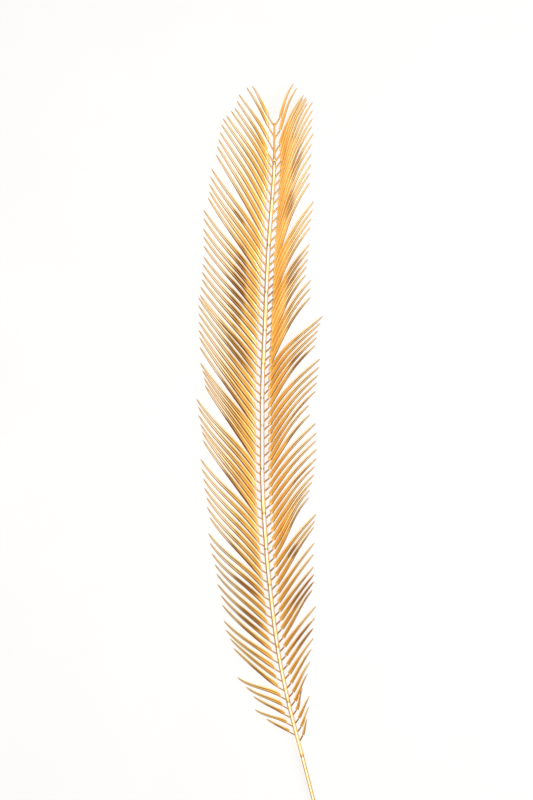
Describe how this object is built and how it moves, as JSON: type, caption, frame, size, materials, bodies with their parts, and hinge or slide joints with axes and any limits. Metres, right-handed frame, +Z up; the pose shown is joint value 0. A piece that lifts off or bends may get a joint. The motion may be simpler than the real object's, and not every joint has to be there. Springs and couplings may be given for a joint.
{
  "type": "artificial palm frond",
  "caption": "Slim curved feather-shaped artificial palm frond in gold: narrow stalked leaflets in opposite pairs on a jointed stem, lying flat.",
  "frame": {"origin": "centre of the underside of the bounding box, on the surface that the frond lies on", "axes": "+Y from the stem's cut end to the tip, +X to the right seen from above, +Z up from the surface"},
  "size_m": [0.1448, 0.8174, 0.0154],
  "materials": {
    "gold_plastic": "metallised gold paint on moulded plastic",
    "wire_steel": "drawn wire"
  },
  "bodies": {
    "root": {"stem_sleeve": "gold_plastic", "leaf_section_01": "gold_plastic", "leaf_section_02": "gold_plastic", "leaf_section_03": "gold_plastic", "leaf_section_04": "gold_plastic", "leaf_section_05": "gold_plastic", "leaf_section_06": "gold_plastic", "leaf_section_07": "gold_plastic", "leaf_section_08": "gold_plastic", "leaf_section_09": "gold_plastic", "leaf_section_10": "gold_plastic", "leaf_section_11": "gold_plastic", "leaf_section_12": "gold_plastic", "leaf_section_13": "gold_plastic", "leaf_section_14": "gold_plastic", "tip_section": "gold_plastic", "core_wire": "wire_steel"}
  },
  "joints": []
}
